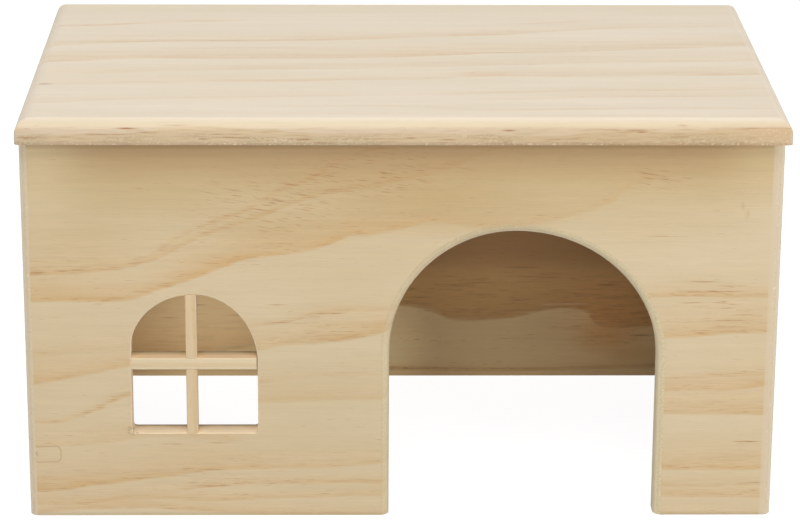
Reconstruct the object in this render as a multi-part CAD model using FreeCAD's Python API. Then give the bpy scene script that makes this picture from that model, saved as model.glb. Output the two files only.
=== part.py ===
"""Wooden hamster house: four pine walls, an arched doorway, a cross-barred window and a flat roof.

All sizes are millimetres. +X is to the right, +Y to the back and +Z up. The boards are drawn
about the middle of the walls, and then the whole house is moved to put the origin on the floor
under the middle of the roof board, which is the house's largest outline.
"""
import FreeCAD, Part
import os
from collections import namedtuple

# The boxed body: front and back panels cover the ends of the two side panels.
WALL_BOARD = 8.0            # thickness of the four wall panels
BODY_WIDTH = 247.5          # over the outer faces of the side panels
BODY_DEPTH = 141.0          # over the outer faces of the front and back panels
WALL_HEIGHT = 130.0
PANEL_ROUND = 3.0           # round-over on the outer upright edges and around the doorway

# The roof: one flat board on the walls' top edges.
ROOF_BOARD = 8.0
ROOF_OVERHANG_FRONT = 4.0
ROOF_OVERHANG_SIDE = 1.25
ROOF_OVERHANG_BACK = 15.0
ROOF_SHIFT = 0.4            # the roof is glued on this much right of the walls' middle
ROOF_ROUND = 5.0            # round-over along the top edges
ROOF_CORNER = 1.5           # radius of the upright corners
ROOF_EDGE_FLAT = 1.0        # least flat edge left under the round-over

# The doorway, measured from the front panel's right-hand end and from the floor.
DOOR_LEG = 39.35            # width of the leg between the doorway and the panel's end
DOOR_WIDTH = 88.5
DOOR_CROWN = 99.1           # height of the arch's highest point
DOOR_CROWN_SHIFT = -3.0     # the crown lies left of the doorway's middle
DOOR_RISE_LEFT = 41.7       # from the left springing point up to the crown
DOOR_RISE_RIGHT = 44.9

# The window, measured from the front panel's left-hand end and from the floor.
WINDOW_MARGIN = 34.7        # from the panel's end to the left jamb
WINDOW_WIDTH = 41.65
WINDOW_SILL = 29.4
WINDOW_CROWN = 77.85
WINDOW_CROWN_SHIFT = 0.0
WINDOW_RISE_LEFT = 18.9
WINDOW_RISE_RIGHT = 23.6
WINDOW_CORNER = 1.2         # radius the cutter leaves in the two corners of the sill
WINDOW_ARRIS = 0.3          # sanded rounding of the opening's front edge

# The window's cross: two square-cut strips, half-lapped and flush with the panel's front.
BAR_DEPTH = 7.0
BAR_ARRIS = 0.4             # rounding of the strips' front edges
MULLION_WIDTH = 3.6
MULLION_SHIFT = -0.95       # the upright strip stands left of the window's middle
TRANSOM_HEIGHT = 4.0
TRANSOM_ABOVE_SILL = 22.4   # from the sill up to the level strip's underside
TRANSOM_END_GAP = 0.3       # the level strip is cut this much short, at its right end

# Hidden dowels: the front and back panels onto the side panels, and the roof onto these.
DOWEL_DIAMETER = 4.0
DOWEL_IN_EDGE = 10.0        # length in a side panel's end grain or top edge
DOWEL_COVER = 2.5           # wood left between a hole's bottom and the far face of the board
DOWEL_GLUE_GAP = 0.1        # glue film around a dowel
DOWEL_END_GAP = 0.4         # room for glue beyond each end of a dowel
WALL_DOWEL_MARGIN = 25.0    # from a wall's foot or top to the nearest corner dowel
ROOF_DOWEL_MARGIN = 30.0    # from a side panel's end to the nearest roof dowel

ELLIPSE_HANDLE = 0.5523     # Bezier handle, as a share of the radius, that follows an ellipse
OVERRUN = 1.0               # how far a cutter passes beyond the board that it cuts
TOLERANCE = 1e-4

X = FreeCAD.Vector(1, 0, 0)
Y = FreeCAD.Vector(0, 1, 0)
Z = FreeCAD.Vector(0, 0, 1)

Opening = namedtuple("Opening", "left right foot crown_x crown spring_left spring_right")

HALF_WIDTH = BODY_WIDTH / 2
ROOF_DEPTH = ROOF_OVERHANG_FRONT + BODY_DEPTH + ROOF_OVERHANG_BACK
FRONT = ROOF_OVERHANG_FRONT - ROOF_DEPTH / 2
BACK = FRONT + BODY_DEPTH
DOOR_RIGHT = HALF_WIDTH - DOOR_LEG
WINDOW_LEFT = WINDOW_MARGIN - HALF_WIDTH

DOOR = Opening(
    left=DOOR_RIGHT - DOOR_WIDTH,
    right=DOOR_RIGHT,
    foot=-OVERRUN,
    crown_x=DOOR_RIGHT - DOOR_WIDTH / 2 + DOOR_CROWN_SHIFT,
    crown=DOOR_CROWN,
    spring_left=DOOR_CROWN - DOOR_RISE_LEFT,
    spring_right=DOOR_CROWN - DOOR_RISE_RIGHT,
)
WINDOW = Opening(
    left=WINDOW_LEFT,
    right=WINDOW_LEFT + WINDOW_WIDTH,
    foot=WINDOW_SILL,
    crown_x=WINDOW_LEFT + WINDOW_WIDTH / 2 + WINDOW_CROWN_SHIFT,
    crown=WINDOW_CROWN,
    spring_left=WINDOW_CROWN - WINDOW_RISE_LEFT,
    spring_right=WINDOW_CROWN - WINDOW_RISE_RIGHT,
)
MULLION_X = WINDOW_LEFT + WINDOW_WIDTH / 2 + MULLION_SHIFT
TRANSOM_Z = WINDOW_SILL + TRANSOM_ABOVE_SILL


def block(x, y, z):
    """A box between two places along each axis."""
    size = [high - low for low, high in (x, y, z)]
    return Part.makeBox(*size, FreeCAD.Vector(x[0], y[0], z[0]))


def rounded(shape, radius, wanted):
    """The shape with its wanted edges rounded; wanted(bounding box) picks them."""
    edges = [edge for edge in shape.Edges if wanted(edge.BoundBox)]
    return shape.makeFillet(radius, edges)


# The arched openings

def quarter_arch(jamb_x, spring, crown_x, crown, y):
    """A quarter of an ellipse, from the top of a jamb to the crown of the arch."""
    poles = [
        (jamb_x, spring),
        (jamb_x, spring + ELLIPSE_HANDLE * (crown - spring)),
        (crown_x + ELLIPSE_HANDLE * (jamb_x - crown_x), crown),
        (crown_x, crown),
    ]
    curve = Part.BezierCurve()
    curve.setPoles([FreeCAD.Vector(x, y, z) for x, z in poles])
    return curve.toShape()


def opening_prism(opening):
    """The space of an arched opening, run past both faces of the front panel."""
    y = FRONT - OVERRUN
    spring_left = FreeCAD.Vector(opening.left, y, opening.spring_left)
    spring_right = FreeCAD.Vector(opening.right, y, opening.spring_right)
    foot_left = FreeCAD.Vector(opening.left, y, opening.foot)
    foot_right = FreeCAD.Vector(opening.right, y, opening.foot)
    wire = Part.Wire([
        Part.makeLine(spring_right, foot_right),
        Part.makeLine(foot_right, foot_left),
        Part.makeLine(foot_left, spring_left),
        quarter_arch(opening.left, opening.spring_left, opening.crown_x, opening.crown, y),
        quarter_arch(opening.right, opening.spring_right, opening.crown_x, opening.crown, y),
    ])
    return Part.Face(wire).extrude(Y * (WALL_BOARD + 2 * OVERRUN))


def window_prism():
    """The window's opening, with the cutter's radius in the corners of its sill."""
    def is_sill_corner(box):
        return box.YLength > WALL_BOARD and abs(box.ZMin - WINDOW_SILL) < TOLERANCE
    return rounded(opening_prism(WINDOW), WINDOW_CORNER, is_sill_corner)


# The hidden dowels

def dowel_spots():
    """Where dowels cross a joint's plane: side, joint's name, point and direction into the face."""
    spots = []
    inner_front = FRONT + WALL_BOARD
    inner_back = BACK - WALL_BOARD
    for side, sign in (("left", -1), ("right", 1)):
        x = sign * (HALF_WIDTH - WALL_BOARD / 2)
        for z in (WALL_DOWEL_MARGIN, WALL_HEIGHT - WALL_DOWEL_MARGIN):
            spots.append((side, "front", FreeCAD.Vector(x, inner_front, z), -Y))
            spots.append((side, "back", FreeCAD.Vector(x, inner_back, z), Y))
        for y in (inner_front + ROOF_DOWEL_MARGIN, inner_back - ROOF_DOWEL_MARGIN):
            spots.append((side, "roof", FreeCAD.Vector(x, y, WALL_HEIGHT), Z))
    return spots


def dowel(joint, point, into_face, radius, end_room):
    """A dowel across a joint, or with its gaps added the hole for one."""
    board = ROOF_BOARD if joint == "roof" else WALL_BOARD
    in_face = board - DOWEL_COVER - DOWEL_END_GAP + end_room
    in_edge = DOWEL_IN_EDGE + end_room
    start = point - into_face * in_edge
    return Part.makeCylinder(radius, in_edge + in_face, start, into_face)


def drill(board, joints, sides=("left", "right")):
    """The board with the blind holes of its joints."""
    radius = DOWEL_DIAMETER / 2 + DOWEL_GLUE_GAP
    for side, joint, point, into_face in dowel_spots():
        if side in sides and joint in joints:
            board = board.cut(dowel(joint, point, into_face, radius, DOWEL_END_GAP))
    return board


def dowel_group(wanted_side, wanted_joint):
    """The dowels of one joint, as separate solids."""
    return Part.makeCompound([
        dowel(joint, point, into_face, DOWEL_DIAMETER / 2, 0)
        for side, joint, point, into_face in dowel_spots()
        if (side, joint) == (wanted_side, wanted_joint)
    ])


# The panels

def front_panel():
    """The face of the house: doorway, window and rounded front edges."""
    def is_rounded(box):
        in_front = abs(box.YMin - FRONT) < TOLERANCE and box.YLength < TOLERANCE
        at_end = abs(max(abs(box.XMin), abs(box.XMax)) - HALF_WIDTH) < TOLERANCE
        in_doorway = box.XMin > DOOR.left - TOLERANCE and box.XMax < DOOR.right + TOLERANCE
        upright = box.ZLength > TOLERANCE
        return in_front and upright and (at_end or in_doorway)

    board = block((-HALF_WIDTH, HALF_WIDTH), (FRONT, FRONT + WALL_BOARD), (0, WALL_HEIGHT))
    def is_window_arris(box):
        in_front = abs(box.YMin - FRONT) < TOLERANCE and box.YLength < TOLERANCE
        across = box.XMin > WINDOW.left - TOLERANCE and box.XMax < WINDOW.right + TOLERANCE
        return in_front and across and box.ZMax < WINDOW.crown + TOLERANCE and box.ZMin > TOLERANCE

    board = rounded(board.cut(opening_prism(DOOR)), PANEL_ROUND, is_rounded)
    board = rounded(board.cut(window_prism()), WINDOW_ARRIS, is_window_arris)
    return drill(board, ["front"])


def back_panel():
    """The plain back, with its outer upright edges rounded."""
    def is_rounded(box):
        return abs(box.YMin - BACK) < TOLERANCE and box.ZLength > TOLERANCE

    board = block((-HALF_WIDTH, HALF_WIDTH), (BACK - WALL_BOARD, BACK), (0, WALL_HEIGHT))
    return drill(rounded(board, PANEL_ROUND, is_rounded), ["back"])


def side_panel(side, sign):
    """A plain side, let in between the front and back panels."""
    x = sorted((sign * HALF_WIDTH, sign * (HALF_WIDTH - WALL_BOARD)))
    board = block(x, (FRONT + WALL_BOARD, BACK - WALL_BOARD), (0, WALL_HEIGHT))
    return drill(board, ["front", "back", "roof"], [side])


def roof_panel():
    """The roof board: top edges rounded over, upright corners just eased."""
    top = WALL_HEIGHT + ROOF_BOARD
    half_x = HALF_WIDTH + ROOF_OVERHANG_SIDE
    half_y = ROOF_DEPTH / 2
    ends = (ROOF_SHIFT - half_x, ROOF_SHIFT + half_x)
    board = block(ends, (-half_y, half_y), (WALL_HEIGHT, top))
    eased = rounded(board, ROOF_CORNER, lambda box: box.ZLength > TOLERANCE)
    round_over = min(ROOF_ROUND, ROOF_BOARD - ROOF_EDGE_FLAT)
    domed = rounded(board, round_over, lambda box: box.ZMin > top - TOLERANCE)
    return drill(eased.common(domed), ["roof"])


# The window's cross

def bar(x, z, is_arris):
    """A strip flush with the panel's front, its front edges eased, trimmed to the opening."""
    strip = block(x, (FRONT, FRONT + BAR_DEPTH), z)
    eased = rounded(strip, BAR_ARRIS, lambda box: abs(box.YMax - FRONT) < TOLERANCE and is_arris(box))
    return eased.common(window_prism())


def mullion_x():
    return (MULLION_X - MULLION_WIDTH / 2, MULLION_X + MULLION_WIDTH / 2)


def transom_z():
    return (TRANSOM_Z, TRANSOM_Z + TRANSOM_HEIGHT)


def window_mullion():
    """The upright strip, from the sill to the arch, notched in front for the level one."""
    z = (WINDOW_SILL - OVERRUN, WINDOW_CROWN + OVERRUN)
    upright = bar(mullion_x(), z, lambda box: box.ZLength > TOLERANCE)
    notch = block(mullion_x(), (FRONT, FRONT + BAR_DEPTH / 2), transom_z())
    return upright.cut(notch)


def window_transom():
    """The level strip, from jamb to jamb, notched behind for the upright one."""
    x = (WINDOW.left - OVERRUN, WINDOW.right - TRANSOM_END_GAP)
    level = bar(x, transom_z(), lambda box: box.XLength > TOLERANCE)
    notch = block(mullion_x(), (FRONT + BAR_DEPTH / 2, FRONT + BAR_DEPTH), transom_z())
    return level.cut(notch)


NODES = {
    "front_panel": front_panel(),
    "back_panel": back_panel(),
    "left_side_panel": side_panel("left", -1),
    "right_side_panel": side_panel("right", 1),
    "roof_panel": roof_panel(),
    "window_mullion": window_mullion(),
    "window_transom": window_transom(),
}
for side in ("left", "right"):
    for joint in ("front", "back", "roof"):
        NODES[f"{joint}_{side}_dowels"] = dowel_group(side, joint)

os.makedirs("parts", exist_ok=True)
for name, shape in NODES.items():
    shape.translate(X * -ROOF_SHIFT)
    shape.exportStep(f"parts/{name}.step")
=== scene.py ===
"""A wooden hamster house: pine boards with their own grain, on a pale studio floor.

Lengths are in metres, in the frame's axes. The wood is written in millimetres.
"""

import collections
import math

import bpy
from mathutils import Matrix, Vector


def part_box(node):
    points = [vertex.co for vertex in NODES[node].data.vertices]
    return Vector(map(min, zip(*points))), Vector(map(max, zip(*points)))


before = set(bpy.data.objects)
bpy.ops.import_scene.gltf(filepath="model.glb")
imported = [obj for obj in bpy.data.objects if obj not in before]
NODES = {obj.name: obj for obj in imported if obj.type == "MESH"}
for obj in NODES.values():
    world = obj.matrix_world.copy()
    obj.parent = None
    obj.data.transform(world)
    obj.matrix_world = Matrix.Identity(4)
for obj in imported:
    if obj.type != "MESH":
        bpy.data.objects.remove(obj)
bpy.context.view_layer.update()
MM = 0.001
MM_DIGITS = 3


def box_mm(node):
    """The lowest and the highest corner of a CAD node, in millimetres."""
    return [[round(float(c) / MM, MM_DIGITS) for c in corner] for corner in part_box(node)]


(LEFT_END, FRONT_FACE, _), (RIGHT_END, SILL_BACK, _) = box_mm("front_panel")
WALLS_MIDDLE = (LEFT_END + RIGHT_END) / 2
BAR_BACK = box_mm("window_transom")[1][1]
BACK_FACE = box_mm("back_panel")[0][1]
ROOF_TOP = box_mm("roof_panel")[1][2]


# -------- camera

CAMERA_PLACE = (-0.016915, -1.053730, 0.415602)
CAMERA_TURN_DEG = (71.4884, -0.2808, -0.8322)
CAMERA_LENS_MM = 142.425
SENSOR_MM = 36.0
CLIP_START = 0.05
CLIP_END = 50.0


def add_camera():
    """The photograph's viewpoint: a long lens in front of the house, a little above it."""
    data = bpy.data.cameras.new("camera")
    data.sensor_width = SENSOR_MM
    data.lens = CAMERA_LENS_MM
    data.clip_start = CLIP_START
    data.clip_end = CLIP_END
    camera = bpy.data.objects.new("camera", data)
    camera.location = CAMERA_PLACE
    camera.rotation_euler = [math.radians(a) for a in CAMERA_TURN_DEG]
    bpy.context.scene.collection.objects.link(camera)
    bpy.context.scene.camera = camera


add_camera()


# -------- shader arithmetic

# A colour Mix node has its share, its two colours and its result at these sockets.
MIX_SHARE = 0
MIX_COLOURS = (6, 7)
MIX_RESULT = 2

# Where a curve's new point waits for its own place.
NEW_POINT = (0.5, 0.5)


class Wire:
    """A number in a node tree. Arithmetic on it adds Math nodes."""

    def __init__(self, graph, socket):
        self.graph = graph
        self.socket = socket

    def math(self, operation, *others):
        return self.graph.math(operation, self, *others)

    def __add__(self, other):
        return self.math("ADD", other)

    def __sub__(self, other):
        return self.math("SUBTRACT", other)

    def __rsub__(self, other):
        return self.graph.math("SUBTRACT", other, self)

    def __mul__(self, other):
        return self.math("MULTIPLY", other)

    def __truediv__(self, other):
        return self.math("DIVIDE", other)

    def larger(self, other):
        """The larger of the two, where there is another."""
        return self if other is None else other.math("MAXIMUM", self)

    def scaled(self, strength):
        return self if strength == 1.0 else self * strength

    def absolute(self):
        return self.math("ABSOLUTE")

    def fuller(self):
        """The same mark with a broader middle."""
        return self.math("SQRT")

    def ramp(self, low, high, to_low=0.0, to_high=1.0):
        """A smooth step from low to high."""
        return self.graph.ramp(self, low, high, to_low, to_high, "SMOOTHSTEP")

    def line(self, low, high, to_low=0.0, to_high=1.0):
        """A straight ramp from low to high, clamped."""
        return self.graph.ramp(self, low, high, to_low, to_high, "LINEAR")


class Graph:
    """Builds the nodes of one material, or of the world."""

    def __init__(self, owner):
        owner.use_nodes = True
        self.tree = owner.node_tree
        self.shader = next(n for n in self.tree.nodes if n.type in ("BSDF_PRINCIPLED", "BACKGROUND"))

    def node(self, kind, **settings):
        made = self.tree.nodes.new("ShaderNode" + kind)
        for name, value in settings.items():
            setattr(made, name, value)
        return made

    def feed(self, socket, value):
        if isinstance(value, Wire):
            self.tree.links.new(value.socket, socket)
        else:
            socket.default_value = value

    def fill(self, made, inputs):
        """Feeds a node's inputs by their names."""
        for name, value in inputs.items():
            self.feed(made.inputs[name], value)

    def math(self, operation, *values):
        made = self.node("Math", operation=operation)
        for socket, value in zip(made.inputs, values):
            self.feed(socket, value)
        return Wire(self, made.outputs[0])

    def ramp(self, value, low, high, to_low, to_high, kind):
        made = self.node("MapRange", interpolation_type=kind, clamp=True)
        self.fill(made, {"Value": value, "From Min": low, "From Max": high})
        self.fill(made, {"To Min": to_low, "To Max": to_high})
        return Wire(self, made.outputs["Result"])

    def curve(self, value, points):
        """A smooth curve through points, both axes from 0 to 1."""
        made = self.node("FloatCurve")
        line = made.mapping.curves[0]
        while len(line.points) < len(points):
            line.points.new(*NEW_POINT)
        for place, (x, y) in zip(line.points, points):
            place.location = (x, y)
            place.handle_type = "AUTO"
        made.mapping.update()
        self.feed(made.inputs["Value"], value)
        return Wire(self, made.outputs[0])

    def vector(self, x, y, z):
        made = self.node("CombineXYZ")
        for socket, value in zip(made.inputs, (x, y, z)):
            self.feed(socket, value)
        return Wire(self, made.outputs[0])

    def parts(self, vector):
        """The three numbers of a vector's socket."""
        made = self.node("SeparateXYZ")
        self.tree.links.new(vector, made.inputs[0])
        return [Wire(self, part) for part in made.outputs]

    def placed(self, vector, kind, location, scale, turn=0.0):
        """A vector through a Mapping node, turned about its third axis by this many degrees."""
        made = self.node("Mapping", vector_type=kind)
        angles = (0.0, 0.0, math.radians(turn))
        self.fill(made, {"Vector": vector, "Location": location, "Rotation": angles, "Scale": scale})
        return Wire(self, made.outputs[0])

    def length(self, vector):
        made = self.node("VectorMath", operation="LENGTH")
        self.tree.links.new(vector.socket, made.inputs[0])
        return Wire(self, made.outputs["Value"])

    def noise(self, place, detail, rough):
        """Smooth noise from 0 to 1, about 0.5, with features about 1 unit of place across."""
        made = self.node("TexNoise", noise_dimensions="3D", normalize=True)
        self.fill(made, {"Vector": place, "Scale": 1.0, "Detail": detail, "Roughness": rough})
        return Wire(self, made.outputs[0])

    def mix(self, share, first, second, blend="MIX"):
        """A colour between first and second."""
        made = self.node("Mix", data_type="RGBA", blend_type=blend, clamp_factor=True)
        self.feed(made.inputs[MIX_SHARE], share)
        for index, colour in zip(MIX_COLOURS, (first, second)):
            if not isinstance(colour, Wire):
                colour = (*colour, 1.0)
            self.feed(made.inputs[index], colour)
        return Wire(self, made.outputs[MIX_RESULT])


# -------- studio

WHITE = (1.0, 1.0, 1.0, 1.0)
FLOOR_SIDE = 12.0
FLOOR_DROP = 0.0002
FLOOR_TONE = 0.5
FLOOR_SEEN_LIGHT = 0.95
FLOOR_SEEN_TONE = 0.20
WORLD_STRENGTH = 0.08
WORLD_SEEN_STRENGTH = 1.0
LAMP_AIM = Vector((0, 0, 0.07))
LAMP_DISTANCE = 1.6

# Azimuth 0 is in front of the house, and 90 at its right. A low lamp only fills, with no glare on the roof.
LAMPS = dict(
    key=dict(azimuth=-12, elevation=57, width=0.8, height=0.8, watts=12.2),
    right_box=dict(azimuth=39, elevation=11, width=0.5, height=0.5, watts=10.8, low=True),
    front_box=dict(azimuth=2, elevation=12, width=1.0, height=0.4, watts=5.7, low=True),
    left_box=dict(azimuth=-72, elevation=16, width=0.6, height=0.6, watts=5.2, low=True),
    side_box=dict(azimuth=78, elevation=16, width=0.6, height=0.6, watts=2.2, low=True),
    back_box=dict(azimuth=180, elevation=48, width=1.6, height=1.3, watts=12.0),
)


def camera_share(graph):
    """1 for rays from the camera and for what gloss or glass shows, otherwise 0."""
    path = graph.node("LightPath")
    seen = Wire(graph, path.outputs["Is Camera Ray"])
    glossy = Wire(graph, path.outputs["Is Glossy Ray"])
    through = Wire(graph, path.outputs["Is Transmission Ray"])
    return seen.math("MAXIMUM", glossy.math("MAXIMUM", through))


def add_world():
    """A white surround for the camera, which lights the house only a little."""
    world = bpy.data.worlds.new("studio")
    graph = Graph(world)
    strength = camera_share(graph).line(0, 1, WORLD_STRENGTH, WORLD_SEEN_STRENGTH)
    graph.fill(graph.shader, {"Color": WHITE, "Strength": strength})
    bpy.context.scene.world = world


def add_floor():
    """A pale floor that the camera sees as near white, with the house's own soft shadow on it."""
    mesh = bpy.data.meshes.new("floor")
    half = FLOOR_SIDE / 2
    corners = [(-half, -half, 0), (half, -half, 0), (half, half, 0), (-half, half, 0)]
    mesh.from_pydata(corners, [], [(0, 1, 2, 3)])
    floor = bpy.data.objects.new("floor", mesh)
    floor.location.z = -FLOOR_DROP
    bpy.context.scene.collection.objects.link(floor)
    material = bpy.data.materials.new("floor")
    graph = Graph(material)
    seen = camera_share(graph)
    graph.fill(graph.shader, {
        "Base Color": seen.line(0, 1, FLOOR_TONE, FLOOR_SEEN_TONE),
        "Roughness": 1.0,
        "Specular IOR Level": 0.0,
        "Emission Color": WHITE,
        "Emission Strength": seen * FLOOR_SEEN_LIGHT,
    })
    mesh.materials.append(material)


def add_lamp(name, azimuth, elevation, width, height, watts, low=False):
    """A soft box that faces the house."""
    around, up = math.radians(azimuth), math.radians(elevation)
    way = Vector((math.sin(around) * math.cos(up), -math.cos(around) * math.cos(up), math.sin(up)))
    data = bpy.data.lights.new(name, "AREA")
    data.shape = "RECTANGLE"
    data.size = width
    data.size_y = height
    data.energy = watts
    lamp = bpy.data.objects.new(name, data)
    lamp.location = LAMP_AIM + way * LAMP_DISTANCE
    lamp.rotation_euler = way.to_track_quat("Z", "Y").to_euler()
    lamp.visible_glossy = not low
    bpy.context.scene.collection.objects.link(lamp)


add_world()
add_floor()
for lamp_name, lamp_settings in LAMPS.items():
    add_lamp(lamp_name, **lamp_settings)


# -------- pine

# Noise whose features have this size, in millimetres along the grain, across it and through the board. Each
# number gives another pattern.
Grain = collections.namedtuple("Grain", "size number detail rough", defaults=(2.0, 0.5))
SEED_STEPS = (7.3, 3.7, 5.1)
HAIR_SEED_STEPS = (31.0, 17.0, 5.0)

# What makes the rings waver, and how far. Marks follow it in part.
LONG_WAVER = Grain((26.0, 0.6, 0.6), 1)
LONG_WAVER_REACH = 5.0
CROSS_WAVER = Grain((11.0, 0.6, 0.6), 2)
CROSS_WAVER_REACH = 0.8
SLOW_WAVER = Grain((35.0, 6.0, 6.0), 3)
SLOW_WAVER_REACH = 1.0
MARK_WAVER_ALONG = 0.3
MARK_WAVER_ACROSS = 0.4

# A ring's profile: a sharp foot, then steps in height at which its fading tone is set.
RING_FOOT = 1.2
RING_DROP = 0.5
RING_EDGE = 0.8
RING_SPAN = 18.0
RING_HAZE = 9.0
RING_STEPS = (0.0, 0.7, 1.5, 2.6, 4.2, 6.5, 9.5, 13.0)

# The soft lower and upper edges of a band between two lines.
BAND_FOOT = (-0.6, 1.4)
BAND_TOP = (-1.5, 3.5)

CLOUDS = Grain((90.0, 22.0, 12.0), 5)
CLOUD_WARMTH = 0.35
PATCHES = Grain((34.0, 3.2, 3.2), 4)
NOISE_MIDDLE = (0.3, 0.7)
FIBRES = Grain((12.0, 0.45, 0.45), 6, 3.0, 0.6)
FIBRE_CONTRAST = 0.13
STREAKS = Grain((55.0, 2.0, 2.0), 7)
STREAK_CONTRAST = 0.11
MOTTLE = Grain((5.0, 1.6, 1.6), 16, 3.0, 0.6)
MOTTLE_CONTRAST = 0.05

# The short dark dashes, which are thicker in the rings and scarce in some patches.
DASHES = Grain((5.0, 0.3, 0.3), 8, 1.0)
DASH_EDGE = (0.72, 0.82)
DASH_STRENGTH = 0.55
DASH_PULL = 0.14
FLECK_PULL = 0.10
SCARCE_PATCHES = PATCHES._replace(number=9)
SCARCE_EDGE = (0.4, 0.7)
SCARCE_PULL = 0.03

# The hairlines that some rings are broken into.
COMB = Grain((7.0, 0.38, 0.38), 11, 1.0)
COMB_EDGE = (0.50, 0.66)

# End grain, which shows where the surface turns towards the board's length.
PORES = Grain((0.8, 0.45, 0.45), 10, 2.0, 0.7)
PORE_EDGE = (0.4, 0.6)
END_EDGE = (0.25, 0.85)
END_COVER = 0.6
END_LATE = 0.5

ROUGHNESS = 0.45
FIBRE_ROUGHNESS = 0.25
LATE_GLOSS = 0.08
MATT_ROUGHNESS = 0.4
FIBRE_RELIEF = 0.06
LATE_RELIEF = 0.03
PORE_RELIEF = 0.08
SPECULAR = 0.5
SHEEN = 0.15
SHEEN_ROUGHNESS = 0.4

# Ragged chips and torn fibres.
SILL_CHIPS = Grain((0.9, 0.9, 0.9), 12)
DOOR_CHIPS = SILL_CHIPS._replace(number=13)
SPECKS = SILL_CHIPS._replace(number=18)
END_CHIPS = SILL_CHIPS._replace(number=14, detail=1.0)
ROOF_CHIPS = SILL_CHIPS._replace(number=15, detail=1.0)

# What breaks up long streaks: 0.3 to 1.2 of their strength.
FRONT_GRIT = Grain((4.0, 0.35, 0.35), 22, 1.0)
ROOF_GRIT = FRONT_GRIT._replace(number=25)
GRIT_RANGE = (0.35, 0.55, 0.3, 1.2)

# How deep a mark on a board's face goes.
WARM_DEEP = 40
TINT_DEEP = 20
STREAK_DEEP = 4

TONES = dict(
    pale=(0.588, 0.478, 0.315),
    warm=(0.515, 0.38, 0.201),
    late=(0.53, 0.35, 0.162),
    resin=(0.36, 0.18, 0.07),
    end_low=(0.56, 0.46, 0.28),
    end_high=(0.67, 0.575, 0.385),
    limb=(0.79, 0.675, 0.445),
    cut=(0.80, 0.69, 0.52),
    line=(0.40, 0.33, 0.20),
    arris=(0.62, 0.51, 0.36),
    rim=(0.59, 0.48, 0.34),
    sawn=(0.86, 0.67, 0.45),
    # the sill's tone is partly painted light on its up-facing surface:
    sill=(1.0, 0.81, 0.55),
    shade=(0.20, 0.12, 0.06),
    chip=(0.85, 0.75, 0.56),
)


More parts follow.
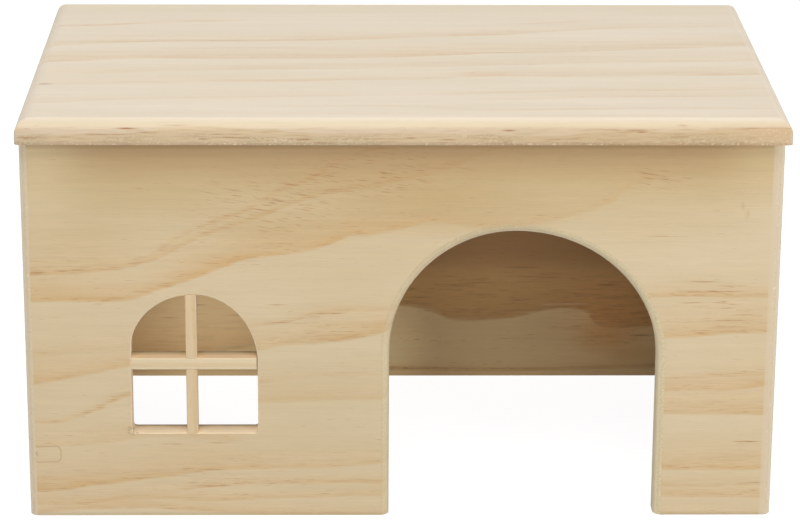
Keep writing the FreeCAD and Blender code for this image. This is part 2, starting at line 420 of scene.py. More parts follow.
class Board:
    """One board's own wood. Places are in millimetres: along the grain, across the face, through the board.

    axes names the frame's axes for those three. reach is the board's length and levels the range across it.
    middle and start are the places that count as 0, along and across. The rings lean as they go deeper than
    face, and patches is how weak and how strong they get from patch to patch.
    """

    def __init__(self, name, axes, reach, levels, face, lean=0.0, seed=0.0, middle=0.0, start=0.0,
                 tones=TONES, patches=(0.65, 1.25)):
        self.material = bpy.data.materials.new(name)
        self.graph = graph = Graph(self.material)
        self.seed = seed
        self.reach = reach
        self.levels = levels
        self.face = face
        self.tones = tones
        self.patches = patches
        coordinates = graph.node("TexCoord")
        place = graph.parts(coordinates.outputs["Object"])
        normal = graph.parts(coordinates.outputs["Normal"])
        order = ["XYZ".index(axis) for axis in axes]
        along, across, self.depth = (place[index] / MM for index in order)
        self.along = along - middle
        self.across = across - start
        self.facing = [normal[index] for index in order]
        self.tilt = self.facing[0].absolute()
        self.away = 1.0 - self.facing[2].absolute()
        self.place = graph.vector(self.along, self.across, self.depth)
        self.long_shift = (self.streaks(LONG_WAVER) - 0.5) * LONG_WAVER_REACH
        self.cross_shift = (self.streaks(CROSS_WAVER) - 0.5) * CROSS_WAVER_REACH
        slow_shift = (self.streaks(SLOW_WAVER) - 0.5) * SLOW_WAVER_REACH
        self.level = self.across + self.cross_shift + slow_shift - (self.depth - face) * lean
        self.share = (self.along + self.long_shift).line(*reach)
        self.ragged = graph.vector(self.along + self.long_shift * MARK_WAVER_ALONG,
                                   self.across + self.cross_shift * MARK_WAVER_ACROSS,
                                   self.depth + self.cross_shift * MARK_WAVER_ACROSS)
        self.warmth = self.streaks(CLOUDS).line(*NOISE_MIDDLE, 0.0, CLOUD_WARMTH)
        self.late = self.dark = self.dashed = self.flecked = None
        self.marks = []
        self.ends = self.tilt.ramp(*END_EDGE) * END_COVER
        self.matt = self.ends
        self.pores = self.streaks(PORES)

    def streaks(self, grain):
        """Noise from 0 to 1, drawn out along the board."""
        location = [(self.seed + grain.number) * step for step in SEED_STEPS]
        place = self.graph.placed(self.place, "POINT", location, [1 / side for side in grain.size])
        return self.graph.noise(place, grain.detail, grain.rough)

    def hairs(self, grain, turn, edges):
        """Thin marks, turned in the board's face by this many degrees. They show between the edges."""
        location = [(self.seed + grain.number) * step for step in HAIR_SEED_STEPS]
        place = self.graph.placed(self.place, "TEXTURE", location, grain.size, turn)
        return self.graph.noise(place, grain.detail, grain.rough).line(*edges)

    def drawn(self, points, low, high):
        """A value that changes along the board, through listed points."""
        start, end = self.reach
        spots = [((u - start) / (end - start), (v - low) / (high - low)) for u, v in points]
        return self.graph.curve(self.share, spots).math("MULTIPLY_ADD", high - low, low)

    def ring(self, line, shown, fade, haze=0.0, hairs=0.0, only=None):
        """One growth ring's latewood: its lower side is sharp, and its colour fades above it.

        line is its place and shown its strength along the board. hairs is the strength of the hairlines that
        it is broken into. only is where it shows.
        """
        over = self.level - self.drawn(line, *self.levels) + RING_DROP
        profile = [(0.0, 0.0), ((RING_FOOT - RING_EDGE) / RING_SPAN, 0.0)]
        for height in RING_STEPS:
            tone = (1 - haze) * math.exp(-height / fade) + haze * math.exp(-height / RING_HAZE)
            profile.append(((RING_FOOT + RING_EDGE + height) / RING_SPAN, tone))
        profile.append((1.0, 0.0))
        place = over.line(-RING_FOOT, RING_SPAN - RING_FOOT)
        made = self.graph.curve(place, profile) * self.drawn(shown, 0, 1)
        if only is not None:
            made = made * only
        self.late = made.larger(self.late)
        if hairs:
            self.dashed = (made * hairs).larger(self.dashed)

    def spot(self, middle, size, turn=0.0):
        """1 in the middle of a soft round mark, and 0 outside it.

        size is half its own, as (along, across, depth). turn is its angle in the board's face, in degrees.
        """
        place = self.graph.placed(self.ragged, "TEXTURE", middle, size, turn)
        return self.graph.length(place).ramp(1, 0)

    def zone(self, along, across, length, width, deep=TINT_DEEP, turn=0.0):
        """A spot on the board's face."""
        return self.spot((along, across, self.face), (length, width, deep), turn)

    def between(self, lower, upper):
        """1 between two listed lines along the board, with soft edges, and 0 outside them."""
        above = (self.level - self.drawn(lower, *self.levels)).ramp(*BAND_FOOT)
        below = (self.drawn(upper, *self.levels) - self.level).ramp(*BAND_TOP)
        return above * below

    def within(self, start, end, soft=2.0):
        """1 between two places along the board, and 0 outside them."""
        return self.along.ramp(start - soft, start) * self.along.ramp(end + soft, end)

    def speckled(self, low, high, edges=PORE_EDGE):
        """A colour that changes from pore to pore, as end grain does."""
        return self.graph.mix(self.pores.line(*edges), self.tones[low], self.tones[high])

    def warm(self, share, strength=1.0):
        """Turns the wood between the rings to its warm tone."""
        self.warmth = share.scaled(strength).larger(self.warmth)

    def darken(self, share, strength=1.0):
        """Turns the wood to the dark tone of resin, for streaks and knots and for painted shade."""
        self.dark = share.scaled(strength).larger(self.dark)

    def fleck(self, share, strength=1.0):
        """More of the short dark dashes here."""
        self.flecked = share.scaled(strength).larger(self.flecked)

    def mark(self, share, tone, strength=1.0, matt=False, blend="MIX"):
        """Lays a tone over the wood, by its name or as a colour. matt takes the gloss off it too."""
        share = share.scaled(strength)
        self.marks.append((share, tone, blend))
        if matt:
            self.matt = share.larger(self.matt)

    def tint(self, share, factors, strength=1.0):
        """Multiplies the wood's colour, where share is above 0."""
        self.mark(share, factors, strength, blend="MULTIPLY")

    def wood(self, late, fibres):
        """The colour of the bare wood: rings, fibres, dashes, stains, painted shade and end grain."""
        graph = self.graph
        tones = self.tones
        colour = graph.mix(self.warmth, tones["pale"], tones["warm"])
        colour = graph.mix(late, colour, tones["late"])
        broad = self.streaks(STREAKS)
        mottle = self.streaks(MOTTLE)
        shade = ((fibres - 0.5) * FIBRE_CONTRAST + (broad - 0.5) * STREAK_CONTRAST
                 + (mottle - 0.5) * MOTTLE_CONTRAST + 1.0)
        colour = graph.mix(1.0, colour, shade, "MULTIPLY")
        scarce = self.streaks(SCARCE_PATCHES).line(*SCARCE_EDGE, -SCARCE_PULL, SCARCE_PULL)
        if self.flecked is not None:
            scarce = scarce + self.flecked * FLECK_PULL
        dashes = (self.streaks(DASHES) + late * DASH_PULL + scarce).line(*DASH_EDGE)
        colour = graph.mix(dashes * DASH_STRENGTH, colour, tones["resin"])
        if self.dark is not None:
            colour = graph.mix(self.dark, colour, tones["resin"])
        if self.dashed is not None:
            combed = self.streaks(COMB).line(*COMB_EDGE)
            colour = graph.mix(self.dashed * combed, colour, tones["resin"])
        end_tone = graph.mix(late * END_LATE, self.speckled("end_low", "end_high"), tones["late"])
        return graph.mix(self.ends, colour, end_tone)

    def finish(self, roughness=ROUGHNESS):
        """Puts the wood's colour, its marks, its gloss and its relief into the material."""
        graph = self.graph
        late = self.late * self.streaks(PATCHES).line(*NOISE_MIDDLE, *self.patches)
        fibres = self.streaks(FIBRES)
        colour = self.wood(late, fibres)
        for share, tone, blend in self.marks:
            colour = graph.mix(share, colour, self.tones.get(tone, tone), blend)
        grain = (fibres - 0.5) * FIBRE_ROUGHNESS + late * -LATE_GLOSS
        relief = (fibres - 0.5) * FIBRE_RELIEF + late * LATE_RELIEF + self.pores * self.tilt * PORE_RELIEF
        bump = graph.node("Bump")
        graph.fill(bump, {"Distance": MM, "Height": relief})
        graph.fill(graph.shader, {
            "Base Color": colour,
            "Roughness": grain + self.matt * MATT_ROUGHNESS + roughness,
            "Specular IOR Level": SPECULAR,
            "Sheen Weight": SHEEN,
            "Sheen Roughness": SHEEN_ROUGHNESS,
            "Normal": Wire(graph, bump.outputs["Normal"]),
        })
        return self.material


WALL_REACH = (-125, 125)
WALL_LEVELS = (-10, 145)


# -------- front board

# Each ring is (line, shown, fade, haze, hairs), from the floor up. The points of a line are (along, up), and
# those of shown are (along, strength).
FRONT_RINGS = [
    ([(-125, 1), (-100, 3), (-88, 3.5), (-70, 2), (-40, 0.5), (125, 0.2)],
     [(-125, 0.7), (-60, 0.5), (125, 0.4)], 2, 0.3, 0.3),
    ([(-125, 4.5), (-110, 4), (-85, 6.5), (-62, 5.4), (-40, 6.5), (-5, 7.5), (88, 7.2), (125, 6.4)],
     [(-125, 0.6), (-60, 0.5), (60, 0.5), (125, 0.7)], 2, 0.3, 0.4),
    ([(-125, 7.4), (-88, 6.6), (-75, 9), (-65, 10.4), (-40, 11.8), (-32, 11.9), (-22, 12.1), (-10, 11.9),
      (88, 10.5), (125, 10.9)],
     [(-125, 0), (-90, 0), (-70, 0.5), (-10, 0.5), (125, 0.4)], 1.6, 0.2, 0.5),
    ([(-125, 9.6), (-115, 9.3), (-105, 11), (-95, 12.1), (-88, 13.1), (-81, 14.3), (-75, 15),
      (-60, 17), (-45, 17.3), (-22, 17.6), (-10, 18.6), (40, 17.5), (88, 16.8), (125, 17.2)],
     [(-125, 0.95), (-100, 0.75), (-40, 0.55), (0, 0.55), (80, 0.8), (125, 0.95)], 3.2, 0.4, 0.3),
    ([(-125, 25.5), (-100, 26), (-88, 28.2), (-68, 28.2), (-58, 27), (-20, 31), (60, 36.6),
      (88, 36.8), (125, 36.3)],
     [(-125, 0.3), (-60, 0.35), (-45, 0), (60, 0.1), (85, 0.65), (125, 0.75)], 4, 0.5, 0.3),
    ([(-125, 34), (-115, 33.4), (-108, 35), (-90, 43), (-70, 46.5), (-47, 47.6), (-35, 49.1),
      (-10, 50.1), (88, 48.8), (100, 49.4), (125, 50.3)],
     [(-125, 0.4), (-50, 0.45), (-40, 0.25), (-10, 0.2), (80, 0.4), (125, 0.7)], 1.1, 0.1, 0.6),
    ([(-125, 40), (-46, 41), (-5, 42), (60, 43), (88, 44.9), (98, 45), (108, 44.8), (118, 46.1),
      (125, 47.2)],
     [(-125, 0), (-60, 0), (-45, 0.4), (-5, 0.35), (60, 0.3), (88, 0.7), (125, 0.9)], 3, 0.3, 0.2),
    ([(-125, 47), (-115, 48.2), (-107, 49.8), (-99, 51.7), (-91, 53.3), (-70, 57), (-50, 58.6),
      (-38, 60.8), (-20, 62.4), (-4, 65.1), (20, 65.3), (60, 63.2), (88, 63.3), (100, 64.4), (105, 65),
      (115, 65.5), (125, 65.2)],
     [(-125, 0.6), (-90, 0.7), (-45, 0.7), (-20, 0.9), (-4, 0.9), (85, 0.6), (105, 0.65), (125, 0.65)],
     3.6, 0.5, 0.3),
    ([(-125, 56), (-100, 59), (-75, 62), (-50, 67), (-40, 68.3), (-25, 71.5), (0, 72.5),
      (80, 77.4), (92, 77.9), (108, 77.5), (125, 77.8)],
     [(-125, 0.4), (-60, 0.3), (-45, 0.4), (-25, 0.5), (-5, 0.4), (80, 0.5), (100, 0.65), (125, 0.6)],
     1.8, 0.2, 0.4),
    ([(-125, 76.1), (-108, 76.3), (-100, 76.3), (-92, 76.4), (-88, 76.9), (-80, 79.9), (-70, 83.6),
      (-58, 88.1), (-50, 91.1), (-40, 92.2), (-30, 93.7), (-22, 96.5), (-18, 98.5), (-10, 99.1),
      (0, 100.9), (8, 103.2), (22, 102), (35, 101.8), (55, 105.5), (68, 110.5), (75, 116),
      (88, 119.5), (125, 122)],
     [(-125, 0.8), (-85, 0.75), (-60, 1), (-30, 1), (-12, 0.9), (20, 0.4), (70, 0.35), (90, 0.25),
      (100, 0), (125, 0)], 3.4, 0.5),
    ([(-125, 84.9), (-108, 85.9), (-90, 87.6), (-80, 90.5), (-70, 95.8), (-60, 100), (-50, 103),
      (-40, 107.5), (-30, 111.4), (-20, 113.6), (-10, 115.2), (0, 117.4), (10, 120), (30, 127),
      (125, 136)],
     [(-125, 0.95), (-105, 0.8), (-80, 0.5), (-40, 0.5), (0, 0.45), (25, 0.3), (60, 0), (125, 0)],
     1.4, 0.3, 0.7),
    ([(-125, 88.4), (-100, 88.3), (-85, 90), (-75, 96), (-65, 101), (-50, 107), (-42, 112),
      (-30, 117.5), (-20, 123), (-10, 127), (125, 140)],
     [(-125, 0.2), (-90, 0.35), (-45, 0.45), (-20, 0.45), (0, 0.3), (30, 0), (125, 0)], 1, 0.2, 0.7),
]

# The marks below are (along, up, half length, half width, strength).
FRONT_WARM = [(-75, 116, 60, 22, 0.8), (15, 112, 80, 22, 0.9), (-40, 100, 48, 13, 0.7)]
FRONT_FLECKS = [
    (-38, 115, 36, 16, 0.4), (-25, 68, 28, 9, 0.5), (106, 74, 26, 14, 1), (-55, 13, 50, 12, 0.6),
]
FRONT_DROPS = [(110.4, 108.5, 1.1, 2.2, 0.25), (112, 105.5, 1.1, 2.4, 0.25)]
FRONT_SLANTED = [(-10, 121, 44, 13, 0.8), (-44, 110, 30, 15, 0.75), (84, 118, 20, 6, 0.7)]
FRONT_STREAKS = [
    (101, 79, 13, 0.55, 0.9), (99, 82.4, 9, 0.35, 0.8), (108, 81, 8, 0.35, 0.5),
    (107, 69, 10, 0.35, 0.8), (112, 70.9, 6, 0.35, 0.7), (107, 66.8, 9, 0.3, 0.6),
    (95, 75.2, 6, 0.3, 0.6), (115, 26.3, 7, 0.4, 0.9), (118, 11.5, 5, 0.35, 0.6),
    (80, 119.2, 8, 0.4, 0.8), (86, 117.2, 7, 0.35, 0.7), (85, 98, 10, 0.3, 0.5),
    (-24, 71.5, 7, 0.45, 0.9), (-40, 68.3, 6, 0.4, 0.8), (-41, 74.5, 5, 0.3, 0.6),
    (-63, 10.5, 8, 0.4, 0.8), (-76, 25.5, 6, 0.35, 0.6), (-60, 26, 6, 0.35, 0.6),
    (-62, 16.4, 7, 0.3, 0.6), (-74, 14.2, 7, 0.3, 0.5), (-32, 112, 7, 0.35, 0.8),
    (-40, 110, 6, 0.35, 0.7), (-36, 115.5, 7, 0.3, 0.7), (-27, 118.5, 7, 0.35, 0.7),
    (-22, 121.5, 7, 0.3, 0.7), (-46, 107, 6, 0.35, 0.7), (-52, 104.5, 5, 0.3, 0.7),
    (20, 121, 8, 0.3, 0.5),
]
DROP_DEEP = 5

# High on the board, the streaks slant by this many degrees.
SLANT = -9.0
SLANT_FROM = 100.0
SLANTED_HAIRS = Grain((6.0, 0.42, 0.6), 21, 1.0)
SLANTED_EDGE = (0.60, 0.70)

# Where the front board starts to get warmer towards its top, where the painted shade under the roof starts,
# and over what height.
WARM_TOP = 98
WARM_TOP_RISE = 26
ROOF_SHADE_FROM = 110
ROOF_SHADE_RISE = 22

# The tints below the roof, high on the board and along its top edge are painted shade from the roof's
# overhang.
FRONT_TINTS = dict(
    under_roof_shade=(0.935, 0.925, 0.885),
    top_left=(0.955, 0.94, 0.89),
    beside_door=(0.96, 0.97, 0.965),
    top=(0.95, 0.95, 0.96),
    over_door=(0.97, 0.95, 0.92),
    bottom_edge=(0.82, 0.82, 0.81),
    roof_line_shade=(0.80, 0.78, 0.75),
)

# The outline of the patch that is let into the left end, and the specks in it.
REPAIR_MIDDLE = (-119.5, 22.0)
REPAIR_HALF = (6.6, 2.7)
REPAIR_CORNER = 1.6
REPAIR_LINE = 0.4
REPAIR_STRENGTH = 0.45
SPECK_ZONE = (-121.8, 22.5, 2.0, 5.0, 6)
SPECK_EDGE = (0.54, 0.62)
SPECK_STRENGTH = 0.7

# Spans along the board, and how far the surface has turned away where an edge's colour begins and ends.
DOOR_SPAN = (-10, 90)
WINDOW_SPAN = (-91, -46)
CUT_EDGE = (0.008, 0.02)
LINE_START = (0.006, 0.016)
LINE_END = (0.06, 0.03)
LINE_STRENGTH = 0.4
LIMB_EDGE = (0.11, 0.34)
ARRIS_EDGE = (0.1, 0.22)
ARRIS_END_EDGE = (0.5, 0.85)
OUTWARD_EDGE = (-0.02, -0.1)
SAWN_EDGE = (0.25, 0.6)
SILL_FACING = (0.6, 0.9)
SAWN_PORE_EDGE = (0.55, 0.95)


def front_board():
    """The flat-sawn board with the doorway: broad rings that rise from left to right."""
    board = Board("front_pine", "XZY", WALL_REACH, WALL_LEVELS, FRONT_FACE, lean=1.4, seed=1,
                  middle=WALLS_MIDDLE)
    for ring in FRONT_RINGS:
        board.ring(*ring)
    front_light(board)
    for *place, strength in FRONT_DROPS:
        board.darken(board.zone(*place, DROP_DEEP), strength)
    slanted = board.hairs(SLANTED_HAIRS, SLANT, SLANTED_EDGE)
    for *place, strength in FRONT_SLANTED:
        board.darken(slanted * board.zone(*place).fuller(), strength)
    for *place, strength in FRONT_FLECKS:
        board.fleck(board.zone(*place), strength)
    doorway_edge(board)
    window_edge(board)
    outer_ends(board)
    broken = board.streaks(FRONT_GRIT).line(*GRIT_RANGE)
    for along, up, length, width, strength in FRONT_STREAKS:
        turn = SLANT if up > SLANT_FROM else 0.0
        board.darken(board.zone(along, up, length, width, STREAK_DEEP, turn) * broken, strength)
    board.darken(repair(board), REPAIR_STRENGTH)
    specks = board.zone(*SPECK_ZONE) * board.streaks(SPECKS).ramp(*SPECK_EDGE)
    board.darken(specks, SPECK_STRENGTH)
    return board.finish()


def front_light(board):
    """Where the front board is warmer, darker or greyer than the rest of it, with painted shade under the
    roof.
    """
    for *place, strength in FRONT_WARM:
        board.warm(board.zone(*place, WARM_DEEP), strength)
    warm_top = (board.level - WARM_TOP).ramp(0, WARM_TOP_RISE)
    warm_right = board.along.ramp(-120, -80, 0.5, 1.0)
    board.warm(warm_top * warm_right)
    inner = board.within(-98, 98, 22)
    # Painted shade under the roof: darker towards the board's top, less at its ends.
    shade_top = (board.across - ROOF_SHADE_FROM).ramp(0, ROOF_SHADE_RISE)
    shade_along = board.along.ramp(-128, -90, 0.15, 0.36)
    board.darken(shade_top * inner * shade_along)
    tinted = dict(
        # Painted shade below the roof.
        under_roof_shade=board.across.ramp(92, 108) * inner,
        top_left=board.zone(-112, 108, 32, 34).fuller(),
        beside_door=board.zone(-22, 40, 44, 62),
        # Painted shade just under the roof.
        top=board.across.ramp(114, 124) * board.within(-92, 88, 26),
        over_door=board.zone(5, 112, 80, 26),
        bottom_edge=board.across.ramp(1.6, 0.2),
        # Painted shade: a dark line where the wall meets the roof.
        roof_line_shade=board.across.ramp(127.0, 128.4),
    )
    for place, share in tinted.items():
        board.tint(share, FRONT_TINTS[place])


def doorway_edge(board):
    """The doorway's rounded edge: end grain, plainest at the right, with a pale rim at its inner side that
    is partly painted light.
    """
    door = board.within(*DOOR_SPAN)
    band = door * board.away.ramp(*CUT_EDGE)
    plainer = board.along.ramp(15, 66, 0.25, 0.85)
    board.mark(band * plainer, board.speckled("end_low", "end_high"), matt=True)
    line = door * board.away.ramp(*LINE_START) * board.away.ramp(*LINE_END)
    weaker = board.along.ramp(60, 30, 0.4, 1.0)
    torn = board.streaks(DOOR_CHIPS).line(0.35, 0.6)
    board.mark(line * weaker * torn, "line", LINE_STRENGTH)
    # Partly painted light: the rim is painted paler where the edge faces left, away from the low lamp at the
    # right.
    painted_light_side = board.facing[0].ramp(0.35, -0.35, 0.1, 0.9)
    board.mark(band * board.away.ramp(*LIMB_EDGE) * painted_light_side, "limb", matt=True)


def window_edge(board):
    """The window's sawn edge: pale, the sill painted lighter at its front and painted shade towards its
    back, chipped in its left corner.
    """
    window = board.within(*WINDOW_SPAN)
    sawn_tone = board.speckled("sawn", "warm", SAWN_PORE_EDGE)
    board.mark(window * board.away.ramp(*SAWN_EDGE), sawn_tone, matt=True)
    sill = window * board.facing[1].ramp(*SILL_FACING)
    # Painted light on the sill's front part, painted shade towards and along its back.
    from_back = board.depth - SILL_BACK
    front_part = from_back.ramp(-2.0, -6.5, 0.0, 0.9)
    board.mark(sill * front_part, "sill")
    back_part = from_back.ramp(-3.6, -0.6, 0.0, 0.55)
    board.mark(sill * back_part, "warm")
    back_edge = from_back.ramp(-1.3, -0.5)
    board.mark(sill * back_edge, "shade", strength=0.85)
    left_corner = board.spot((-88.8, 30.4, -75), (2.6, 3.0, 6))
    chips = board.streaks(SILL_CHIPS).ramp(0.48, 0.56)
    board.mark(left_corner * chips, "shade", strength=0.9)
    right_corner = board.zone(-48.3, 31.4, 0.5, 2.6, 3)
    board.mark(right_corner, "shade")


def outer_ends(board):
    """The rounded outer edges: paler than the face, partly as painted light on their turned surfaces, with
    small brown and cream chips.
    """
    outward = board.facing[2].ramp(*OUTWARD_EDGE)
    band = board.tilt.ramp(*ARRIS_EDGE) * (1.0 - board.within(-20, 110)) * outward
    end = board.tilt.ramp(*ARRIS_END_EDGE)
    # Partly painted light on the rounded ends, which turn away from the face's light.
    board.mark(band, "arris", strength=0.85, matt=True)
    left = board.along.ramp(0, -1)
    board.mark(band * left * end, "cut", strength=0.9)
    right = board.along.ramp(119.4, 120.5) * outward
    board.mark(right, "rim", strength=0.75)
    board.mark(right * end, "cut", strength=0.5)
    chips = board.streaks(END_CHIPS)
    board.mark(band * chips.ramp(0.66, 0.72), "late", strength=0.5)
    board.mark(band * chips.ramp(0.34, 0.28), "chip", strength=0.3)


def repair(board):
    """The thin outline of a patch let into the board's left end, with rounded corners at its right."""
    across = (board.along - REPAIR_MIDDLE[0]).absolute() - (REPAIR_HALF[0] - REPAIR_CORNER)
    up = (board.level - REPAIR_MIDDLE[1]).absolute() - (REPAIR_HALF[1] - REPAIR_CORNER)
    outside = board.graph.vector(across.math("MAXIMUM", 0.0), up.math("MAXIMUM", 0.0), 0.0)
    distance = board.graph.length(outside) - REPAIR_CORNER
    fainter_left = board.along.ramp(-125, -119, 0.2, 1.0)
    return distance.absolute().ramp(REPAIR_LINE, 0) * fainter_left


# -------- roof

ROOF_REACH = (-127, 127)
ROOF_LEVELS = (-10, 165)
ROOF_PATCHES = (0.4, 1.4)
ROOF_ROUGHNESS = 0.4

# The roof's pale tone is whiter than the walls', partly its own wood and partly a painted reflection on its
# top.
ROOF_TONES = dict(
    TONES,
    pale=(0.675, 0.567, 0.408),
    warm=(0.60, 0.465, 0.27),
    late=(0.60, 0.40, 0.175),
    blush=(0.58, 0.40, 0.25),
    # a painted highlight for the rounded edges:
    painted_highlight=(0.77, 0.66, 0.51),
)

ROOF_TINTS = dict(
    edge=(0.90, 0.885, 0.96),
    hairs=(0.88, 0.83, 0.76),
    rough=(0.90, 0.90, 0.87),
    ends=(1.06, 1.10, 1.2),
    lowest=(0.80, 0.77, 0.78),
    bands=(0.94, 0.915, 0.88),
    edge_right=(0.96, 0.94, 0.89),
)

# Each ring is (line, shown, fade, haze). Across is counted from the walls' front.
ROOF_RINGS = [
    ([(-127, 2.6), (-70, 5), (-50, 5.4), (-20, 5), (40, 3), (90, 2.4), (127, 2.6)],
     [(-127, 0), (-80, 0.2), (-40, 0.35), (20, 0.1), (60, 0.35), (127, 0.3)], 0.8),
    ([(-127, 9), (-30, 13.5), (0, 14), (20, 10), (35, 9.5), (55, 10.3), (80, 11.5), (127, 10.8)],
     [(-127, 0), (-60, 0.1), (-20, 0.3), (20, 0.4), (50, 0.6), (80, 0.4), (127, 0.6)], 0.7),
    ([(-127, 18.3), (-115, 18.6), (-100, 21), (-90, 22.4), (-60, 24.2), (-40, 25.5), (0, 27.3),
      (60, 32.8), (80, 33.4), (100, 34), (127, 35.2)],
     [(-127, 0.8), (-105, 0.6), (-60, 0.4), (-30, 0.5), (0, 0.2), (30, 0.5), (60, 0.6), (127, 0.7)],
     2, 0.2),
    ([(-127, 15), (0, 20), (40, 22.6), (60, 25), (90, 25.6), (127, 26.8)],
     [(-127, 0), (0, 0), (40, 0.4), (80, 0.5), (127, 0.4)], 2.4, 0.4),
    ([(-127, 39), (-110, 41), (-85, 42.3), (-70, 43.3), (-60, 44.3), (-30, 45.2), (-20, 46.3),
      (0, 47.8), (15, 49), (25, 51.3), (60, 51.8), (80, 52.6), (100, 52.8), (127, 54.8)],
     [(-127, 0.2), (-80, 0.55), (-30, 0.6), (5, 0.6), (18, 0.8), (26, 1), (50, 0.9), (80, 0.7),
      (110, 1), (127, 1)], 4.4, 0.35),
    ([(-127, 52), (-100, 54.5), (-80, 58), (-60, 59.3), (-40, 59.8), (-20, 60.8), (0, 62.8),
      (10, 63.3), (20, 64.8), (40, 66.3), (60, 68.8), (80, 69.8), (100, 70.8), (127, 73)],
     [(-127, 0.2), (-85, 0.45), (-60, 0.5), (-20, 0.65), (20, 0.85), (60, 0.75), (100, 0.6), (127, 0.8)],
     6, 0.6),
    ([(-127, 69.3), (-110, 71.2), (-100, 73.2), (-90, 74.3), (-60, 74.8), (-30, 75.3), (-10, 76.3),
      (0, 77.3), (10, 78.6), (20, 80), (30, 82), (60, 84.1), (80, 86.6), (100, 89.4), (127, 93)],
     [(-127, 1), (-60, 0.9), (-20, 0.95), (20, 0.95), (60, 0.8), (90, 0.75), (127, 0.9)], 10, 0.9),
    ([(-127, 78), (-110, 80.5), (-90, 83.8), (-60, 88.8), (-30, 88), (0, 88.3), (60, 96),
      (127, 104)],
     [(-127, 0.6), (-100, 0.6), (-60, 0.5), (-20, 0.3), (40, 0.35), (127, 0.4)], 2.4, 0.2),
    ([(-127, 90), (-110, 94), (-90, 97.2), (-70, 98.3), (-50, 98.6), (-30, 99.4), (-10, 101.8),
      (0, 103.2), (20, 105.4), (35, 107.6), (50, 111), (60, 113.6), (80, 117.4), (100, 118.6),
      (127, 120.4)],
     [(-127, 1), (-40, 0.95), (0, 0.95), (40, 0.85), (55, 0.5), (80, 0.45), (127, 0.5)], 3.2, 0.35),
    ([(-127, 118.8), (-110, 120), (-100, 121.6), (-90, 124.2), (-75, 126), (-60, 127.3), (0, 131),
      (127, 140)],
     [(-127, 0.8), (-90, 0.75), (-62, 0.7), (-50, 0.15), (0, 0), (127, 0.2)], 1.6),
    ([(-127, 104), (40, 121.5), (50, 123.5), (60, 125.5), (75, 127.5), (127, 134)],
     [(-127, 0), (35, 0), (52, 0.5), (68, 0.5), (85, 0.1), (127, 0.2)], 1.6),
]

# (lower line, upper line, strength) of the roof's broad warm bands. A line is (along, across).
ROOF_BANDS = [
    ([(-127, 69), (-100, 73.5), (-80, 75.5), (-20, 76.5), (0, 78.5), (40, 82), (60, 84), (100, 89),
      (127, 93)],
     [(-127, 86), (-90, 85), (-60, 90.5), (-20, 93), (0, 94), (40, 98), (60, 99), (100, 102.5),
      (127, 104)], 0.36),
    ([(-127, 52), (-60, 60), (-20, 62), (0, 64), (40, 67), (60, 69), (80, 70.5), (127, 73.5)],
     [(-127, 58), (-60, 67), (-20, 69.5), (0, 71.5), (40, 75), (80, 79), (127, 81)], 0.34),
    ([(-127, 40), (0, 48), (20, 51), (60, 52), (100, 53.5), (127, 55)],
     [(-127, 44), (0, 52), (20, 57), (60, 61), (100, 63), (127, 64)], 0.34),
    ([(-127, 91), (-90, 97), (-40, 99), (0, 103), (40, 108.5), (60, 112.5), (80, 116), (127, 121)],
     [(-127, 99), (-90, 103), (-40, 104.5), (0, 109), (40, 114.5), (60, 117.5), (80, 121), (127, 126)],
     0.28),
    ([(-127, 18.5), (-90, 22), (-40, 25), (0, 27.5), (127, 35)],
     [(-127, 25), (-90, 27.5), (-40, 29.5), (0, 31), (127, 38.5)], 0.26),
]
ROOF_BAND_PATCHES = PATCHES._replace(number=19)
ROOF_BAND_RANGE = (0.6, 1.3)
FINE_BANDS = Grain((70.0, 5.0, 5.0), 17)

# (along, up): the roof's front edge is paler above this line than below it; the paleness above it is partly
# painted reflection.
ROOF_EDGE_LEVELS = (125, 145)
ROOF_EDGE_LINE = [
    (-127, 133.2), (-106, 133.8), (-84.6, 134.3), (-76.3, 135.9), (-69, 136.4), (-49, 135.6), (-33, 134.4),
    (-1, 134.4), (50, 133.5), (63, 134.8), (95, 134.8), (102, 135.6), (127, 136.1),
]

# (along, up, half length, half width, strength) of the dark streaks in the roof's front edge.
ROOF_EDGE_STREAKS = [
    (-120, 132.3, 9, 0.7, 0.5), (-96, 133.6, 11, 0.4, 0.6), (-88.5, 135.4, 6, 0.5, 0.95),
    (-82, 134.2, 5, 0.4, 0.7), (-73, 136.2, 8, 0.4, 0.5), (-64, 132.1, 3, 0.5, 0.6),
    (-57, 133.6, 8, 0.4, 0.7), (-54.5, 132.6, 8, 0.4, 0.8), (-33, 132, 7, 0.5, 0.8),
    (-26, 130.8, 5, 0.4, 0.7), (-11, 132.1, 22, 0.4, 0.45), (2, 132.3, 3, 0.5, 0.8),
    (14, 131.8, 4, 0.4, 0.7), (33.7, 134.8, 4, 0.4, 0.8), (32, 131, 3, 0.4, 0.7),
    (51, 132, 8, 0.4, 0.5), (54, 130.7, 5, 0.4, 0.6), (70, 135, 16, 0.5, 0.5),
    (76, 134.4, 3, 0.5, 0.8), (89, 136.3, 3, 0.4, 0.6), (113, 135.5, 20, 0.5, 0.5),
]
ROOF_EDGE_ACROSS = -4
ROOF_EDGE_DEEP = 6
EDGE_HAIRS = Grain((9.0, 0.45, 0.45), 22, 1.0)
EDGE_HAIR_TURN = 2.5
EDGE_HAIR_EDGE = (0.50, 0.72)
ROUGH_PATCHES = Grain((22.0, 5.0, 5.0), 23, 1.0)
FINE_GRIT = Grain((0.8, 0.5, 0.5), 24)


